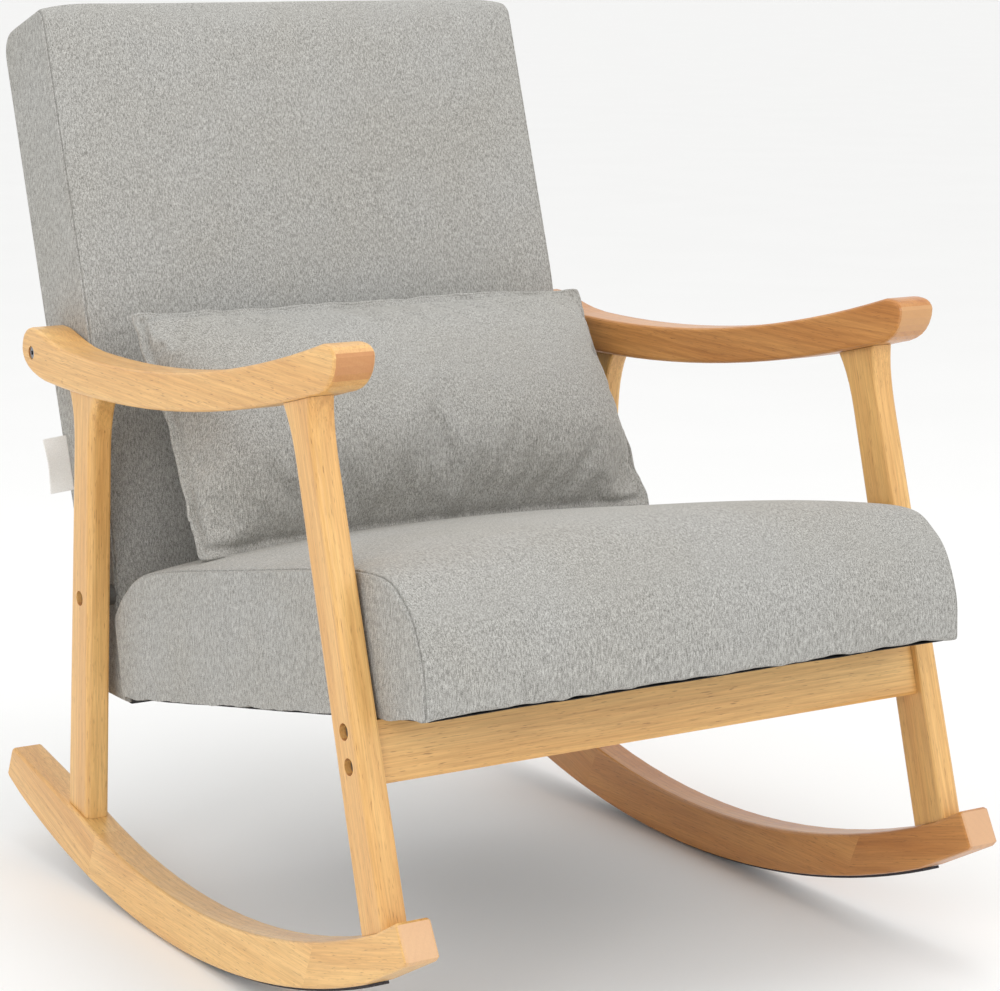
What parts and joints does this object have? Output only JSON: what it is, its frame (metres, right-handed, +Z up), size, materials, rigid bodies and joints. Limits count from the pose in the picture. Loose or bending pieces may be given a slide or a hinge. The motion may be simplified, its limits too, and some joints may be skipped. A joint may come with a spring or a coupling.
{
  "type": "rocking chair",
  "caption": "Upholstered rocking chair with solid wood side frames on curved rockers, sloping padded seat, leaning padded back, curved armrests and a loose lumbar pillow.",
  "frame": {"origin": "middle of the bounding box's underside, on the floor between the two rockers", "axes": "+Z up; the sitter faces -Y, so the backrest is towards +Y; +X is the sitter's left"},
  "size_m": [0.67, 0.9532, 0.9309],
  "materials": {
    "wood": "satin",
    "dowel_wood": "matte",
    "plywood": "matte",
    "linen": "matte",
    "foam": "matte",
    "filling": "matte",
    "dust_cloth": "matte",
    "tag": "matte",
    "felt": "matte",
    "steel": "satin",
    "zinc": "satin"
  },
  "bodies": {
    "chair": {"rocker_left": "wood", "rocker_strip_left": "felt", "armrest_left": "wood", "front_leg_left": "wood", "rear_leg_left": "wood", "front_leg_foot_dowel_1_left": "dowel_wood", "front_leg_foot_dowel_2_left": "dowel_wood", "front_leg_arm_dowel_1_left": "dowel_wood", "front_leg_arm_dowel_2_left": "dowel_wood", "rear_leg_foot_dowel_1_left": "dowel_wood", "rear_leg_foot_dowel_2_left": "dowel_wood", "rear_leg_arm_dowel_1_left": "dowel_wood", "rear_leg_arm_dowel_2_left": "dowel_wood", "rail_bolt_1_left": "steel", "rail_barrel_nut_1_left": "zinc", "rail_bolt_2_left": "steel", "rail_barrel_nut_2_left": "zinc", "rear_leg_bolt_left": "steel", "armrest_bolt_left": "steel", "rear_leg_spacer_left": "dowel_wood", "rear_leg_insert_left": "zinc", "armrest_insert_left": "zinc", "frame_side_left": "plywood", "rocker_right": "wood", "rocker_strip_right": "felt", "armrest_right": "wood", "front_leg_right": "wood", "rear_leg_right": "wood", "front_leg_foot_dowel_1_right": "dowel_wood", "front_leg_foot_dowel_2_right": "dowel_wood", "front_leg_arm_dowel_1_right": "dowel_wood", "front_leg_arm_dowel_2_right": "dowel_wood", "rear_leg_foot_dowel_1_right": "dowel_wood", "rear_leg_foot_dowel_2_right": "dowel_wood", "rear_leg_arm_dowel_1_right": "dowel_wood", "rear_leg_arm_dowel_2_right": "dowel_wood", "rail_bolt_1_right": "steel", "rail_barrel_nut_1_right": "zinc", "rail_bolt_2_right": "steel", "rail_barrel_nut_2_right": "zinc", "rear_leg_bolt_right": "steel", "armrest_bolt_right": "steel", "rear_leg_spacer_right": "dowel_wood", "rear_leg_insert_right": "zinc", "armrest_insert_right": "zinc", "frame_side_right": "plywood", "front_rail": "wood", "seat_front_bar": "plywood", "seat_rear_bar": "plywood", "back_lumbar_bar": "plywood", "back_top_bar": "plywood", "seat_board": "plywood", "seat_foam": "foam", "seat_cover": "linen", "dust_cloth": "dust_cloth", "back_foam": "foam", "back_cover": "linen", "side_tag": "tag"},
    "pillow": {"pillow_cover": "linen", "pillow_filling": "filling"}
  },
  "joints": [
    {"name": "pillow_lift", "type": "slide", "parent": "chair", "child": "pillow", "axis": [0, 0, 1], "range_m": [0, 0.4]}
  ]
}
